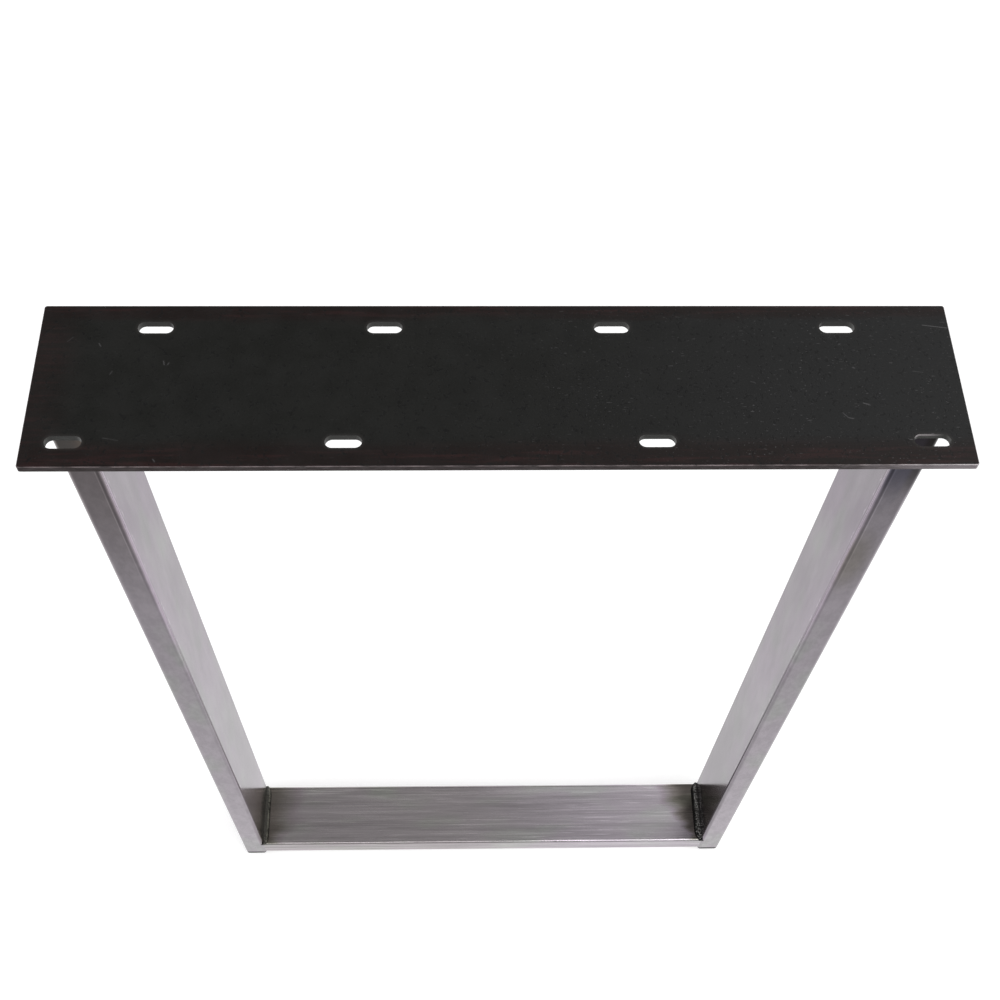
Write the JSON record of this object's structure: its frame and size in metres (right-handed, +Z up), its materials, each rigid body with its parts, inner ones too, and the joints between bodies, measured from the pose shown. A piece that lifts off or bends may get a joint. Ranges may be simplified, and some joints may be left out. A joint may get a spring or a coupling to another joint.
{
  "type": "table leg frame",
  "caption": "Welded steel table leg frame: slotted plate on slightly inclined flat-tube legs that taper to a foot tube, on end plugs",
  "frame": {"origin": "on the floor under the middle of the plate", "axes": "+Z up, +X along the frame to the picture's right, +Y to the back, so the picture's front is at -Y"},
  "size_m": [0.51, 0.11, 0.72],
  "materials": {
    "mill_scale": "hot-rolled plate with its dark mill scale, lightly oiled, bright along worn arrises",
    "raw_steel": "bare drawn tube, ground along its length, heat-tinted by the welds",
    "weld": "dark oxidised weld bead with ripples, ground flush at front and back",
    "plug": "black moulded plastic"
  },
  "bodies": {
    "root": {"top_plate": "mill_scale", "leg_tube_left": "raw_steel", "leg_tube_right": "raw_steel", "foot_tube": "raw_steel", "weld_foot_left": "weld", "weld_foot_right": "weld", "weld_top_left": "weld", "weld_top_right": "weld", "end_plug_left": "plug", "end_plug_right": "plug"}
  },
  "joints": []
}
